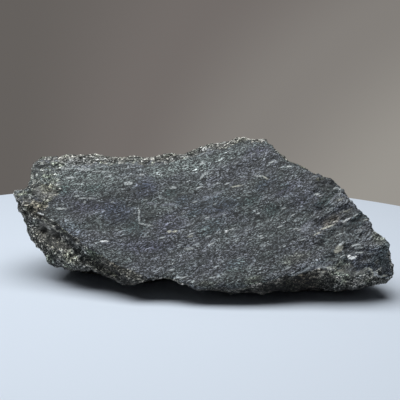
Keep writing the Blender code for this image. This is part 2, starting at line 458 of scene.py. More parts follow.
def ramp(values, start, end):
    """0 at start, 1 at end, with soft shoulders."""
    share = np.clip((values - start) / (end - start), 0.0, 1.0)
    return share * share * (3.0 - 2.0 * share)


def lumps(at, size, seed, octaves=3, stretch=(1.0, 1.0, 1.0)):
    """Soft noise, about -1 to 1. The size is a lump's width in millimetres; a seed gives other lumps."""
    scaled = at / (size * np.array(stretch)) + seed * SEED_STRIDE
    return np.array([noise.fractal(place, OCTAVE_FALL, OCTAVE_SHRINK, octaves) for place in scaled])


wander = lumps(points, size=6.0, seed=1.0)
print("wander, spread of values:", round(float(wander.std()), 2))

# %% [markdown]
# Where the stone is fresh and where it is weathered
#
# A mask is one number for each point, from 0 to 1. The fresh mask is 1 on the flat face and 0 on the rind.
# Three things decide it: which way the surface looks, how far inside the outline it lies, and how deep
# below the face. At the left the rind starts at a clean edge. Along the top it creeps over the face for
# most of a centimetre, so the ramp is wider there. Noise makes the edge wander, because a rind flakes off
# unevenly.
#
# Three places are looser. At the right end and at the lower lip the fresh rock turns further away, and the
# right end keeps flakes of rind. On the block at the upper left the two are mixed.

# %% Masks
FACE_TURN = (0.62, 0.80)
FACE_DEPTH = (12.0, 18.0)
TURN_WANDERS = 0.04
EDGE_WANDERS = 0.9
SIDE_EDGE = 1.0
TOP_CREEP = 9.0
TOP_BAND = (25.0, 36.0)
RIGHT_END = (38.0, 46.0)
RIGHT_END_SLANTS = 0.35
LIP_DROP = (10.0, 14.0)
LIP_ENDS = 16.0
LIP_FADES = 5.0
RIGHT_LOOSER = 0.22
LIP_LOOSER = 0.50
FLAKES = dict(size=4.0, seed=12.0, stretch=(2.0, 1.0, 1.0))
FLAKES_EDGE = (0.0, 0.45)
FLAKES_COVER = 0.5
BLOCK_RUN = (33.0, 37.0)
BLOCK_ACROSS = (30.0, 34.0)
BLOCK_TURN = (0.45, 0.70)
BLOCK_FRESH = 0.44

run = in_rock[:, 0]
across = in_rock[:, 1]
towards_face = broad_normals @ np.array(face_out) + TURN_WANDERS * wander
below_face = face_place - in_rock[:, 2]
right_end = ramp(run - RIGHT_END_SLANTS * across, *RIGHT_END)


def fresh_mask():
    low_lip = ramp(-across, *LIP_DROP) * ramp(LIP_ENDS - run, 0.0, LIP_FADES)
    looser = RIGHT_LOOSER * right_end + LIP_LOOSER * low_lip
    edge_width = SIDE_EDGE + TOP_CREEP * ramp(across, *TOP_BAND)
    mask = ramp(towards_face, FACE_TURN[0] - looser, FACE_TURN[1] - looser)
    mask *= ramp(inside + EDGE_WANDERS * wander, 0.0, edge_width)
    mask *= 1.0 - ramp(below_face, *FACE_DEPTH)
    mask *= 1.0 - FLAKES_COVER * right_end * ramp(lumps(in_rock, **FLAKES), *FLAKES_EDGE)
    block = ramp(-run, *BLOCK_RUN) * ramp(across, *BLOCK_ACROSS) * ramp(towards_face, *BLOCK_TURN)
    return np.maximum(mask, BLOCK_FRESH * block)


fresh = fresh_mask()
print("fresh share of the surface:", round(float(fresh.mean()), 2))

# %% [markdown]
# Relief of the fresh face
#
# Seen close, the face isn't flat. Bundles of blades and single crystals stand less than a tenth of a
# millimetre proud, and thin plates have flaked off and left steps. The bundles are noise stretched along
# the blades. The steps are made by rounding a soft noise to whole numbers: each number is one plate, and a
# narrow ramp between two is the broken edge.

# %% Blades and plates
BUNDLES = dict(size=1.6, seed=2.0, octaves=2, stretch=(3.0, 1.0, 1.0))
BUNDLE_HEIGHT = 0.05
CRYSTALS = dict(size=0.9, seed=9.0, octaves=2, stretch=(1.4, 1.0, 1.0))
CRYSTAL_HEIGHT = 0.06
PLATES = dict(size=9.0, seed=3.0, octaves=4, stretch=(2.0, 1.0, 1.0))
PLATE_STEPS = 2.2
PLATE_EDGE = 0.18
PLATE_HEIGHT = 0.11


def steps(values, softness):
    """Rounds values to whole numbers, with a ramp of the given width between two of them."""
    floor = np.floor(values)
    return floor + ramp(values - floor, 0.5 - softness / 2, 0.5 + softness / 2)


def face_relief(at):
    bundles = lumps(at, **BUNDLES) * BUNDLE_HEIGHT
    single = lumps(at, **CRYSTALS) * CRYSTAL_HEIGHT
    plates = steps(PLATE_STEPS * lumps(at, **PLATES), PLATE_EDGE) * PLATE_HEIGHT
    return bundles + single + plates


face_height = face_relief(in_rock)
print("face relief, mm:", round(float(np.ptp(face_height)), 2))

# %% [markdown]
# Small ledges of the right end
#
# At the right the stone broke across several layers at once. The solid has the large ledges; between them
# are small ones, short and blocky. A staircase is what is left of a slope after rounding: the slope minus
# its rounded self is a saw, high just above each step and low just below it. Noise bends the slope strongly
# first, so that no ledge runs far before it breaks off.

# %% Ledges
LEDGE_WIDTH = 3.0
LEDGE_HEIGHT = 0.50
LEDGE_EDGE = 0.2
BENDS = dict(size=6.0, seed=4.0, stretch=(1.5, 1.0, 1.0))
BENDS_STRONG = 2.0
CHUNKS = dict(size=3.0, seed=10.0, octaves=4, stretch=(1.3, 1.0, 1.0))
CHUNK_HEIGHT = 0.62


def ledge_relief(at):
    slope = at[:, 1] / LEDGE_WIDTH + BENDS_STRONG * lumps(at, **BENDS)
    saw = slope - steps(slope, LEDGE_EDGE)
    chunks = lumps(at, **CHUNKS) * CHUNK_HEIGHT
    return chunks - saw * LEDGE_HEIGHT


ledge_height = ledge_relief(in_rock)
print("ledge relief, mm:", round(float(np.ptp(ledge_height)), 2))

# %% [markdown]
# Relief of the rind
#
# Weather eats the softer mineral first, so the rind is a crust of hard grains with pits between them. It
# needs three sizes at once, or it looks like one repeated stamp: knobs as wide as a pea, broken roughness
# as wide as a lentil, and single grains. The pits are where another noise falls low. Taking the absolute
# value of a noise gives the roughness its sharp creases. The left end is the most weathered, so it is a
# little rougher.

# %% Grains and pits
KNOBS = dict(size=5.0, seed=7.0)
KNOB_HEIGHT = 0.62
ROUGHNESS = dict(size=2.6, seed=5.0)
ROUGH_HEIGHT = 0.60
ROUGH_MIDDLE = 0.45
GRAINS = dict(size=1.3, seed=6.0)
GRAIN_HEIGHT = 0.32
GRAIN_STRIDE = np.array((3.1, 1.3, 2.2))
PITS = dict(size=2.6, seed=8.0)
PIT_EDGE = (0.34, 0.58)
PIT_DEPTH = 0.70
FINER_SEED = 20.0
LEFT_END = (44.0, 52.0)
LEFT_ROUGHER = 1.20


def creased(at, size, seed):
    """Noise with sharp valleys, about 0 in the valleys and 1 on the tops."""
    return np.abs(lumps(at, size, seed, 2)) + 0.5 * np.abs(lumps(at, size / 2, seed + FINER_SEED, 2))


def grains(at, size, seed):
    """Rounded grains packed together, 1 at the top of each and falling towards 0 between them."""
    scaled = at / size + seed * GRAIN_STRIDE
    nearest = np.array([noise.voronoi(Vector(place))[0][0] for place in scaled])
    return 1.0 - np.clip(nearest, 0.0, 1.0)


def rind_relief(at):
    knobs = lumps(at, **KNOBS) * KNOB_HEIGHT
    rough = (creased(at, **ROUGHNESS) - ROUGH_MIDDLE) * ROUGH_HEIGHT
    single = (grains(at, **GRAINS) - 0.5) * GRAIN_HEIGHT
    pits = ramp(-lumps(at, **PITS), *PIT_EDGE) * PIT_DEPTH
    return knobs + rough + single - pits


left_end = ramp(-points[:, 0], *LEFT_END)
rind_height = rind_relief(points) * (1.0 + (LEFT_ROUGHER - 1.0) * left_end)
print("rind relief, mm:", round(float(np.ptp(rind_height)), 2))

# %% [markdown]
# The undercut at the left
#
# Below the face's left edge the softer rock has weathered back, and the face stands over it like a thin
# shelf. The distance to the outline places a rounded groove just outside the edge, where the wall begins.

# %% Undercut
UNDERCUT_DEPTH = 1.2
UNDERCUT_BELOW = 2.2
UNDERCUT_WIDTH = 1.6
UNDERCUT_RUN = (24.0, 34.0)
UNDERCUT_TOP = (22.0, 27.0)
UNDERCUT_NEAR = (5.0, 9.0)
UNDERCUT_EVEN = 0.75
UNDERCUT_WANDERS = 0.5


def undercut_relief():
    groove = np.exp(-(((inside + UNDERCUT_BELOW) / UNDERCUT_WIDTH) ** 2))
    at_left = ramp(-run, *UNDERCUT_RUN) * (1.0 - ramp(across, *UNDERCUT_TOP))
    at_left = at_left * (UNDERCUT_EVEN + UNDERCUT_WANDERS * wander)
    near_face = 1.0 - ramp(below_face, *UNDERCUT_NEAR)
    return -UNDERCUT_DEPTH * groove * at_left * near_face


undercut = undercut_relief()
print("undercut, mm:", round(float(-undercut.min()), 2))

# %% [markdown]
# Put the relief on the skin
#
# Each point moves along its normal. The masks choose how much of each relief it gets. The stone may not
# grow past the solid's own box, and its underside stays flat where it stands on the table, so the points
# are held inside that box at the end.

# %% Move the points
STANDS_BELOW = 0.35
STANDS_FADES = 4 * STANDS_BELOW


def carve(mesh):
    height = fresh * face_height + (1.0 - fresh) * rind_height + undercut
    height += fresh * right_end * ledge_height
    height *= ramp(points[:, 2], STANDS_BELOW, STANDS_FADES)
    moved = points + normals * height[:, None]
    low = np.array(cad_low) / MM
    high = np.array(cad_high) / MM
    set_points(mesh, np.clip(moved, low, high))
    return height


height = carve(skin)
print("moved by", round(float(height.min()), 2), "to", round(float(height.max()), 2), "mm")

# %% [markdown]
# Values for the material
#
# The material reads five things from the mesh. They are stored as attributes, which a shader can look up by
# name: the place in the rock's own directions, the fresh mask, how high a point stands above its
# neighbours, how far it stands proud of the smoothed stone and how far it is underside. Edges and knobs
# stand proud: they are painted paler, partly as wear and partly as painted highlight, and the hollows get
# painted shade. The underside, which looks down near the table, gets painted shade too. The blades bend a
# little from left to right, so the place does too.

# %% Attributes
BEND_LENGTH = 700.0
# Standing proud: paler edges, partly wear and partly painted highlight; painted shade in the hollows.
WEAR_AND_SHADE_ROUNDS = 36
WEAR_AND_SHADE_REACH = 0.55
RAISED_ROUNDS = 6
RAISED_GAIN = 1.2
# Painted shade on the underside: where the surface looks down, and how near the table.
UNDERSIDE_LOOKS = (-0.05, 0.45)
UNDERSIDE_ENDS = (5.0, 11.0)


def bent(run, across):
    """Blades curve slightly: they run flatter at the left and climb more at the right."""
    return across - run * run / BEND_LENGTH


def store(mesh, name, values):
    kind, field = ("FLOAT_VECTOR", "vector") if values.ndim == 2 else ("FLOAT", "value")
    attribute = mesh.attributes.new(name, kind, "POINT")
    attribute.data.foreach_set(field, values.astype(float).ravel())


def stands_proud(at, outward):
    """How far a point stands out of the stone smoothed around it, from -1 in hollows to 1 on edges."""
    proud = ((at - spread(at, WEAR_AND_SHADE_ROUNDS)) * outward).sum(axis=1)
    return np.clip(proud / WEAR_AND_SHADE_REACH, -1.0, 1.0)


final = points_of(skin)
place = final @ rock_axes.T
place[:, 1] = bent(place[:, 0], place[:, 1])
above_neighbours = height - spread(height, RAISED_ROUNDS)
wear_and_shade = stands_proud(final, broad_normals)
underside_shade = ramp(-broad_normals[:, 2], *UNDERSIDE_LOOKS) * (1.0 - ramp(final[:, 2], *UNDERSIDE_ENDS))
store(skin, "rock_place", place)
store(skin, "fresh", fresh)
store(skin, "raised", np.clip(0.5 + above_neighbours * RAISED_GAIN, 0.0, 1.0))
store(skin, "wear_and_shade", 0.5 + 0.5 * wear_and_shade)
store(skin, "underside_shade", underside_shade)
print("worn, spread of values:", round(float(wear_and_shade.std()), 2))

# %% [markdown]
# Helpers for colours and places
#
# The stone's colour is built up in layers, as a painter would do it: a soft ramp says where a layer shows,
# a blend lays it on, and a tone makes it lighter or darker. Where a place is needed it is counted in the
# rock's own directions, in millimetres, and divided by a size. A larger size gives a larger pattern.

# %% Node helpers: colours and places
MIX_FIRST = 6
MIX_SECOND = 7
MIX_RESULT = 2


def between(tree, value, start, end, low=0.0, high=1.0):
    """A soft ramp from low at start to high at end."""
    node = add_node(tree, "MapRange", value, start, end, low, high, interpolation_type="SMOOTHSTEP")
    return node.outputs["Result"]


def product(tree, *factors):
    """All the factors multiplied together."""
    result = factors[0]
    for factor in factors[1:]:
        result = sums(tree, "MULTIPLY", result, factor)
    return result


def blend(tree, share, first, second, kind="MIX"):
    """Colour first where share is 0, second where it is 1. A Mix node keeps its colours in late sockets."""
    node = add_node(tree, "Mix", share, data_type="RGBA", blend_type=kind)
    feed(tree, node.inputs[MIX_FIRST], first)
    feed(tree, node.inputs[MIX_SECOND], second)
    return node.outputs[MIX_RESULT]


def toned(tree, colour, tone):
    """The colour made lighter or darker by a factor."""
    node = add_node(tree, "VectorMath", colour, operation="SCALE")
    feed(tree, node.inputs["Scale"], tone)
    return node.outputs[0]


def vectors(tree, operation, *values):
    """One Vector Math node."""
    return add_node(tree, "VectorMath", *values, operation=operation).outputs[0]


def scaled_place(tree, place, size):
    """The place divided by a size, which makes a pattern of that size in millimetres."""
    return vectors(tree, "DIVIDE", place, size)


print("helpers for colours and places ready")

# %% [markdown]
# Helpers for textures
#
# Two of Blender's textures make all the patterns of the stone. Noise makes whatever has no edge, such as
# clouds of colour, or a push that leaves a plain shape ragged. Voronoi makes what comes one by one, such as
# crystals: it splits the rock into cells and gives random numbers to each.

# %% Node helpers: textures
def noise_at(tree, place, detail, scale=1.0):
    """Soft noise over a place. A larger scale gives smaller lumps."""
    node = add_node(tree, "TexNoise", place)
    feed(tree, node.inputs["Scale"], scale)
    feed(tree, node.inputs["Detail"], detail)
    return node.outputs


def cloud(tree, place, size, detail=3.0):
    """Noise from 0 to 1 whose lumps have the given size along each direction of the rock."""
    return noise_at(tree, scaled_place(tree, place, size), detail)["Fac"]


def clouds(tree, place, size, start, end, low=0.0, high=1.0, detail=3.0):
    """Cloudy shapes: low where the noise is at start, high where it is at end."""
    return between(tree, cloud(tree, place, size, detail), start, end, low, high)


def ragged(tree, place, size, amount):
    """The place pushed about by noise, so that a plain ellipse drawn on it comes out ragged."""
    push = noise_at(tree, scaled_place(tree, place, size), 2.0)["Color"]
    pushed = vectors(tree, "MULTIPLY_ADD", push, (amount,) * 3, place)
    return vectors(tree, "SUBTRACT", pushed, (amount / 2,) * 3)


def random_cells(tree, place):
    """Voronoi cells: the distance to each one's seed, and three random numbers for each."""
    cells = add_node(tree, "TexVoronoi", place)
    feed(tree, cells.inputs["Scale"], 1.0)
    chances = add_node(tree, "SeparateColor", cells.outputs["Color"]).outputs
    return cells.outputs["Distance"], chances


print("helpers for textures ready")

# %% [markdown]
# Helpers for node groups
#
# A pattern that is used more than once becomes a node group: a small tree of its own, with named inputs and
# outputs. It is built once and placed wherever it is wanted, each time with other values.

# %% Node helpers: groups
def new_group(name, inputs, outputs):
    """An empty node group with named sockets: the tree, what it is given and what it results in."""
    tree = bpy.data.node_groups.new(name, "ShaderNodeTree")
    for title, kind, value in inputs:
        socket = tree.interface.new_socket(title, in_out="INPUT", socket_type="NodeSocket" + kind)
        if value is not None:
            socket.default_value = value
    for title, kind in outputs:
        tree.interface.new_socket(title, in_out="OUTPUT", socket_type="NodeSocket" + kind)
    return tree, tree.nodes.new("NodeGroupInput").outputs, tree.nodes.new("NodeGroupOutput").inputs


def use_group(tree, group, **values):
    """Places a group in a tree. Spaces in socket names are written as underscores."""
    node = add_node(tree, "Group", node_tree=group)
    for name, value in values.items():
        feed(tree, node.inputs[name.replace("_", " ")], value)
    return node.outputs


print("helpers for groups ready")

# %% [markdown]
# Crystals as a node group
#
# The rock is a mass of crystals, and each has its own grey. A Voronoi texture gives every cell a random
# colour, so one channel of it is a random tone for each crystal. Two sizes together look less regular than
# one. The group is used for the beige grains of the rind and inside the salt, which comes next.

# %% Group: crystals
FINER_CRYSTALS = 0.5


def make_crystals():
    tree, given, result = new_group(
        "crystals",
        [("Place", "Vector", None), ("Size", "Vector", (1.0, 0.6, 0.6)), ("Fine Share", "Float", 0.4)],
        [("Tone", "Float"), ("Height", "Float")],
    )
    layers = []
    for shrink in (1.0, FINER_CRYSTALS):
        size = toned(tree, given["Size"], shrink)
        distance, chances = random_cells(tree, scaled_place(tree, given["Place"], size))
        layers.append((chances[0], sums(tree, "SUBTRACT", 1.0, distance)))
    coarse_share = sums(tree, "SUBTRACT", 1.0, given["Fine Share"])
    for name, coarse, fine in zip(("Tone", "Height"), *layers):
        coarse = sums(tree, "MULTIPLY", coarse, coarse_share)
        feed(tree, result[name], sums(tree, "MULTIPLY_ADD", fine, given["Fine Share"], coarse))
    return tree


crystals = make_crystals()
print("group crystals:", len(crystals.nodes), "nodes")

# %% [markdown]
# Salt as a node group
#
# What makes the rock sparkle from close by is the contrast between neighbouring crystals a third of a
# millimetre wide. Most are dark and a few are bright, so the random tone is raised to a power. A second
# layer of wider crystals makes small clusters. Both together are one factor, about 1 on average, that any
# colour of the stone can be multiplied by.

# %% Group: salt
CLUSTERS_FINE_SHARE = 0.4


def make_salt():
    tree, given, result = new_group(
        "salt",
        [
            ("Place", "Vector", None),
            ("Fine Size", "Vector", (0.44, 0.23, 0.23)),
            ("Wide Size", "Vector", (1.5, 0.45, 0.45)),
            ("Fine Power", "Float", 2.0),
            ("Wide Power", "Float", 1.0),
        ],
        [("Factor", "Float"), ("Height", "Float"), ("Fine Tone", "Float")],
    )
    layers = {}
    factor = 1.0
    for width, fine_share in (("Fine", 0.0), ("Wide", CLUSTERS_FINE_SHARE)):
        size = given[width + " Size"]
        power = given[width + " Power"]
        layer = use_group(tree, crystals, Place=given["Place"], Size=size, Fine_Share=fine_share)
        raised_tone = sums(tree, "POWER", layer["Tone"], power)
        makes_average_one = sums(tree, "ADD", power, 1.0)
        factor = product(tree, raised_tone, makes_average_one, factor)
        layers[width] = layer
    feed(tree, result["Factor"], factor)
    feed(tree, result["Height"], sums(tree, "ADD", layers["Fine"]["Height"], layers["Wide"]["Height"]))
    feed(tree, result["Fine Tone"], layers["Fine"]["Tone"])
    return tree


salt = make_salt()
print("group salt:", len(salt.nodes), "nodes")

# %% [markdown]
# Blades as a node group
#
# Some crystals stand out: long pale blades, dark lenses, silvery flecks. Each is a lens lying along the
# rock, alone in its surroundings. The distance to a Voronoi seed in stretched space is the same on a lens
# around it, so a ramp over that distance draws the lens, and a random number for each seed leaves most out.
# A second random number makes some lenses larger, and noise frays their ends.

# %% Group: blades
FRAY_SCALE = 2.6
FRAY_GAIN = 4.0
LENS_SMALLEST = 0.6
LENS_VARIES = 0.6
LENS_CORE = 0.55


def make_blades():
    tree, given, result = new_group(
        "blades",
        [
            ("Place", "Vector", None),
            ("Size", "Vector", (6.0, 1.6, 1.6)),
            ("Share", "Float", 0.3),
            ("Reach", "Float", 0.35),
            ("Ragged", "Float", 0.12),
        ],
        [("Mask", "Float"), ("Tone", "Float")],
    )
    place = scaled_place(tree, given["Place"], given["Size"])
    distance, chances = random_cells(tree, place)
    wobble = sums(tree, "SUBTRACT", noise_at(tree, place, 2.0, FRAY_SCALE)["Fac"], 0.5)
    fray = sums(tree, "MULTIPLY", given["Ragged"], FRAY_GAIN)
    edge = sums(tree, "MULTIPLY_ADD", wobble, fray, distance)
    size_of_each = sums(tree, "MULTIPLY_ADD", chances[1], LENS_VARIES, LENS_SMALLEST)
    outer = sums(tree, "MULTIPLY", given["Reach"], size_of_each)
    lens = between(tree, edge, outer, sums(tree, "MULTIPLY", outer, LENS_CORE))
    chosen = sums(tree, "LESS_THAN", chances[0], given["Share"])
    feed(tree, result["Mask"], sums(tree, "MULTIPLY", lens, chosen))
    feed(tree, result["Tone"], chances[2])
    return tree


blades = make_blades()
print("group blades:", len(blades.nodes), "nodes")

# %% [markdown]
# Single marks as a node group
#
# Some marks are so plain that the stone would be missed without them, such as the bent white vein left of
# the middle and the cream crystals at the right end. Each is one ellipse, with its own place, size and
# turn. The group turns the place about the face's outward direction, divides it by the ellipse's size and
# ramps the distance. With a wide ramp the same group draws a soft patch instead of a crisp crystal.

# %% Group: mark
def make_mark():
    tree, given, result = new_group(
        "mark",
        [
            ("Place", "Vector", None),
            ("Centre", "Vector", (0.0, 0.0, 0.0)),
            ("Half Size", "Vector", (2.0, 0.6, 6.0)),
            ("Turn", "Float", 0.0),
            ("Softness", "Float", 0.25),
        ],
        [("Mask", "Float")],
    )
    away = vectors(tree, "SUBTRACT", given["Place"], given["Centre"])
    turned = add_node(tree, "VectorRotate", away, rotation_type="Z_AXIS")
    feed(tree, turned.inputs["Angle"], given["Turn"])
    in_ellipse = scaled_place(tree, turned.outputs[0], given["Half Size"])
    far = add_node(tree, "VectorMath", in_ellipse, operation="LENGTH").outputs["Value"]
    outer = sums(tree, "ADD", 1.0, given["Softness"])
    inner = sums(tree, "SUBTRACT", 1.0, given["Softness"])
    feed(tree, result["Mask"], between(tree, far, outer, inner))
    return tree


mark = make_mark()
print("group mark:", len(mark.nodes), "nodes")

# %% [markdown]
# The marks themselves
#
# Each row is one mark: what it is, where it lies along and across the blades, half its length and width in
# millimetres, how far it is turned from the blades in degrees, how strongly it shows, and what it is made
# of. Most are pale minerals; the ledge lines at the right end are partly pale mineral and partly painted
# highlight along the ledges' lit edges. Some are thin films of clay, and the last ones are painted shadow:
# near black in the cracks and pits of the upper left corner and in the crevice under the face's left edge.

# %% Marks
SILVER = (0.50, 0.52, 0.51, 1.0)
CREAM = (0.56, 0.54, 0.45, 1.0)
CLAY_FILM = (0.215, 0.203, 0.178, 1.0)
SLATE = (0.17, 0.18, 0.21, 1.0)
PALE_SLATE = (0.24, 0.25, 0.28, 1.0)
# SHADOW is painted shadow, near black, for cracks, pits and the crevice that lie in shade.
SHADOW = (0.016, 0.017, 0.018, 1.0)
WHITE = (0.73, 0.73, 0.72, 1.0)
MARKS = [
    ("bent vein, upper arm", -13.7, 16.3, 2.9, 0.28, 76, 0.75, SILVER),
    ("bent vein, lower arm", -12.4, 12.4, 2.3, 0.30, -26, 0.90, SILVER),
    ("white eye", -14.1, 28.8, 1.4, 0.60, -14, 0.95, SILVER),
    ("white dash, upper", -0.1, 22.7, 1.2, 0.45, -12, 0.90, SILVER),
    ("white dash, upper middle", 8.6, 20.3, 1.3, 0.26, -8, 0.95, SILVER),
    ("white dash, left", -27.1, 10.7, 1.4, 0.30, -15, 1.00, WHITE),
    ("white dash, upper left", -32.6, 37.9, 2.0, 0.40, -12, 0.85, SILVER),
    ("white dash, far left", -38.5, 27.6, 1.8, 0.40, -12, 0.80, SILVER),
    ("white streak, upper left", -27.4, 39.4, 2.6, 0.50, -14, 0.60, SILVER),
    ("pale streak, upper left", -22.0, 36.6, 3.0, 0.40, -16, 0.50, SILVER),
    ("pale streak, left", -28.5, 28.0, 2.2, 0.35, -20, 0.60, SILVER),
    ("white leaf, top middle", 11.0, 24.1, 1.6, 0.45, 31, 0.80, SILVER),
    ("white dash beside it", 12.6, 23.0, 0.8, 0.25, 10, 0.75, SILVER),
    ("pale spot, top middle", 12.1, 28.9, 1.1, 0.45, -10, 0.70, SILVER),
    ("pale spot, top left", -9.4, 30.7, 1.3, 0.45, -10, 0.50, SILVER),
    ("cream pair, left", -5.5, 7.4, 0.8, 0.50, -16, 0.90, CREAM),
    ("cream pair, right", -3.7, 6.9, 0.8, 0.45, -10, 0.90, CREAM),
    ("yellow dash", 20.6, 16.3, 2.0, 0.28, -14, 0.65, CREAM),
    ("cream dash", 28.7, 17.5, 1.5, 0.30, -24, 0.85, SILVER),
    ("its tail", 30.7, 16.0, 1.3, 0.22, -50, 0.65, CREAM),
    ("white spark, middle", 12.6, 1.7, 0.7, 0.42, 10, 1.00, WHITE),
    ("its tail, middle", 14.2, 1.9, 1.5, 0.22, 6, 0.75, SILVER),
    ("white dot, right of middle", 24.5, 4.5, 0.45, 0.32, 0, 1.00, SILVER),
    ("white dash, low right", 22.7, -3.7, 0.9, 0.30, 0, 0.95, SILVER),
    ("pale lens, low", -1.2, -0.4, 1.5, 0.45, -13, 0.55, SILVER),
    ("cream lens, low", 0.6, 3.6, 1.0, 0.35, -14, 0.45, CREAM),
    ("pale line, lip", 4.1, -12.8, 1.7, 0.28, -10, 0.60, SILVER),
    ("white dash, top", 34.8, 21.1, 1.4, 0.22, -8, 1.00, SILVER),
    ("white dash, top right", 39.7, 17.6, 0.8, 0.34, -12, 1.00, SILVER),
    ("white dash, right", 45.1, 5.0, 1.0, 0.32, -12, 0.95, SILVER),
    ("pale dash, right", 34.8, -4.8, 1.2, 0.26, -15, 0.90, SILVER),
    ("white dot by the vein", -14.9, 17.4, 0.5, 0.28, 0, 0.95, SILVER),
    ("pale band, middle", 12.2, 15.8, 4.4, 0.80, 5, 0.50, PALE_SLATE),
    ("grey strip by the vein", -3.1, 16.9, 2.8, 0.45, -14, 0.50, PALE_SLATE),
    ("grey blob by the vein", -8.5, 19.2, 1.6, 0.50, -20, 0.50, PALE_SLATE),
    ("slate strip", 11.9, 8.2, 2.8, 0.50, -2, 0.55, SLATE),
    ("slate line", 0.3, 7.8, 2.5, 0.32, 4, 0.80, PALE_SLATE),
    ("slate line, upper", -3.2, 17.3, 2.4, 0.35, -12, 0.60, SLATE),
    ("blue blade, right", 38.0, -4.9, 2.8, 0.85, 27, 0.75, PALE_SLATE),
    ("ridge line, upper right", 50.1, 2.0, 2.6, 0.35, 32, 0.75, PALE_SLATE),
    ("white dash on the rim", 51.7, 5.2, 0.9, 0.26, -10, 0.85, SILVER),
    ("pale spot on the rim", 52.6, 3.6, 1.3, 0.60, 60, 0.50, SILVER),
    # The ledge lines are partly pale mineral and partly painted highlight along the ledges' lit edges.
    ("ledge line, left", 44.5, -7.1, 2.3, 0.34, -2, 0.95, CREAM),
    ("ledge line, right", 51.3, -6.9, 1.5, 0.36, 4, 1.00, WHITE),
    ("ledge line, far right", 54.6, -6.2, 0.8, 0.22, 4, 0.70, SILVER),
    ("ledge line, below", 40.7, -8.6, 1.5, 0.28, 4, 0.70, CREAM),
    ("ledge line, above", 52.6, -3.6, 1.9, 0.22, -3, 0.65, CREAM),
    ("ledge line, middle", 47.6, -11.0, 1.5, 0.25, -6, 0.60, SILVER),
    ("cream crystal, right", 45.2, -15.9, 1.7, 0.95, 16, 0.95, CREAM),
    ("its white top", 46.7, -14.6, 1.1, 0.50, 8, 0.75, SILVER),
    ("white crystal, left part", 47.4, -19.3, 0.6, 0.45, 0, 1.00, WHITE),
    ("white crystal, middle", 48.0, -20.3, 1.0, 0.45, -15, 1.00, WHITE),
    ("white crystal, right part", 49.2, -20.3, 0.8, 0.36, 20, 1.00, WHITE),
    ("pale streak above it", 50.8, -16.4, 1.8, 0.30, -16, 0.70, SILVER),
    ("second streak above it", 51.3, -17.5, 1.6, 0.25, -16, 0.60, SILVER),
    ("white line, right", 51.4, -19.1, 1.9, 0.22, -18, 0.95, SILVER),
    ("white line, far right", 55.0, -20.4, 1.6, 0.18, -18, 0.65, SILVER),
    ("pale ridge, left", 34.6, -19.0, 2.8, 0.50, 2, 0.45, SILVER),
    ("pale ridge, middle", 39.0, -20.6, 2.8, 0.50, -38, 0.45, SILVER),
    ("pale ridge, right", 44.0, -23.2, 2.8, 0.50, -17, 0.50, CREAM),
    ("pale ridge, end", 49.6, -24.6, 3.0, 0.50, -11, 0.50, CREAM),
    ("cream streak, toe", 53.0, -25.2, 1.2, 0.28, -50, 1.00, CREAM),
    ("its white end", 54.9, -26.1, 1.4, 0.28, -30, 1.00, WHITE),
    ("cream line, toe", 57.4, -26.6, 1.5, 0.30, -8, 0.90, CREAM),
    ("beige band, toe", 46.2, -22.9, 2.6, 1.1, -32, 0.50, CLAY_FILM),
    ("pale film, ridge", 38.2, -19.4, 4.0, 0.9, -10, 0.40, PALE_SLATE),
    ("pale edge of the lip", 31.0, -19.4, 3.4, 0.30, 4, 0.60, SILVER),
    ("clay film by the notch", -42.4, 35.4, 4.2, 2.2, -20, 0.48, CLAY_FILM),
    ("clay film, wall top", -45.4, 21.2, 3.8, 2.2, -40, 0.55, CLAY_FILM),
    ("clay film, wall middle", -42.0, 16.4, 4.2, 2.0, -45, 0.50, CLAY_FILM),
    ("clay in the upper pit", -46.2, 24.4, 1.8, 1.4, -40, 0.85, CLAY_FILM),
    ("clay in the lower pit", -43.4, 21.4, 1.8, 1.2, -40, 0.85, CLAY_FILM),
    ("cream dash in the scoop", 37.6, -21.4, 0.9, 0.22, -10, 0.70, CREAM),
    ("white dash, left edge", -45.5, 27.9, 1.1, 0.30, -38, 1.00, WHITE),
    ("white fleck, left", -32.4, 30.3, 1.0, 0.28, -12, 0.80, SILVER),
    ("white line, left", -30.9, 28.9, 1.6, 0.20, -5, 0.80, SILVER),
    ("white dot, left", -30.1, 27.1, 0.55, 0.40, 0, 0.95, SILVER),
    ("white dash, top left", -32.8, 41.7, 1.4, 0.24, -12, 0.70, SILVER),
    # Painted shadow: the crack and pits of the corner and the crevice under the left edge, painted near
    # black.
    ("crack at the corner", -41.2, 46.2, 2.6, 0.65, -10, 1.00, SHADOW),
    ("pit at the corner", -43.2, 47.6, 1.4, 0.75, 30, 1.00, SHADOW),
    ("pit below it", -43.8, 44.6, 1.1, 0.60, 60, 0.90, SHADOW),
    ("pit by the knob", -44.8, 38.6, 1.5, 0.50, 40, 0.85, SHADOW),
    ("crevice, upper", -43.6, 25.0, 2.4, 0.50, -50, 0.90, SHADOW),
    ("crevice, middle", -41.0, 20.9, 2.6, 0.60, -57, 0.95, SHADOW),
    ("crevice, lower", -38.2, 16.8, 2.6, 0.60, -54, 0.95, SHADOW),
    ("crevice, end", -35.4, 13.2, 2.2, 0.42, -50, 0.70, SHADOW),
]
print("marks:", len(MARKS))
